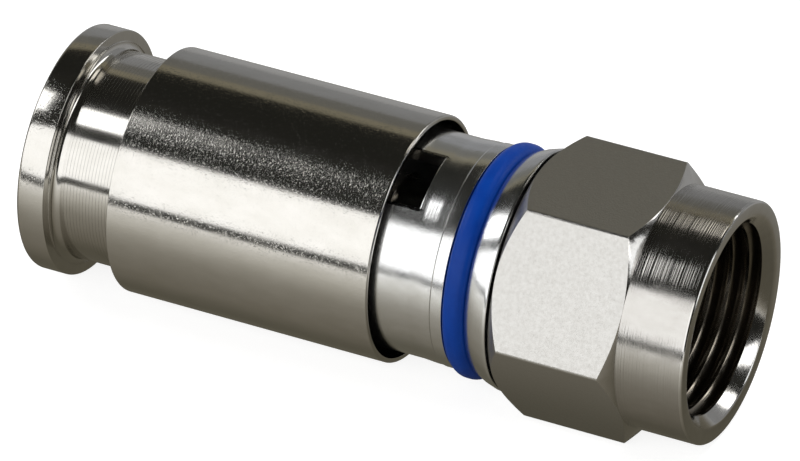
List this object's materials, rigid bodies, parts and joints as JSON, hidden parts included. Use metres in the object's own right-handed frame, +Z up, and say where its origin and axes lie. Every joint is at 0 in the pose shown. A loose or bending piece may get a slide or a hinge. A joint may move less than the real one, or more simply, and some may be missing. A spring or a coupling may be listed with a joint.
{
  "type": "coaxial compression connector",
  "caption": "Nickel-plated coaxial cable connector with a hex coupling nut, a windowed body with a blue seal ring, and a sleeve that slides forward to clamp the cable.",
  "frame": {"origin": "on the surface the connector lies on, under the middle of its length and of its axis", "axes": "+X along the axis towards the open mouth of the nut, +Z up, with a flat of the nut facing down"},
  "size_m": [0.0324, 0.0128, 0.0114],
  "materials": {
    "nut_nickel": "nickel plate, satin and slightly grained",
    "body_nickel": "nickel plate, bright",
    "post_nickel": "nickel plate, bright",
    "sleeve_nickel": "nickel plate, bright with fine turning marks",
    "blue_rubber": "smooth moulded rubber",
    "black_rubber": "smooth moulded rubber",
    "grip_plastic": "moulded acetal"
  },
  "bodies": {
    "body": {"body_shell": "body_nickel", "post": "post_nickel", "blue_seal_ring": "blue_rubber", "nut_seal_ring": "black_rubber"},
    "nut": {"coupling_nut": "nut_nickel"},
    "sleeve": {"compression_sleeve": "sleeve_nickel", "grip_ring": "grip_plastic"}
  },
  "joints": [
    {"name": "nut_spin", "type": "hinge", "parent": "body", "child": "nut", "pos_m": [0.01158, 0, 0.00571], "axis": [1, 0, 0], "continuous": true},
    {"name": "sleeve_slide", "type": "slide", "parent": "body", "child": "sleeve", "axis": [1, 0, 0], "range_m": [0, 0.00522]}
  ]
}
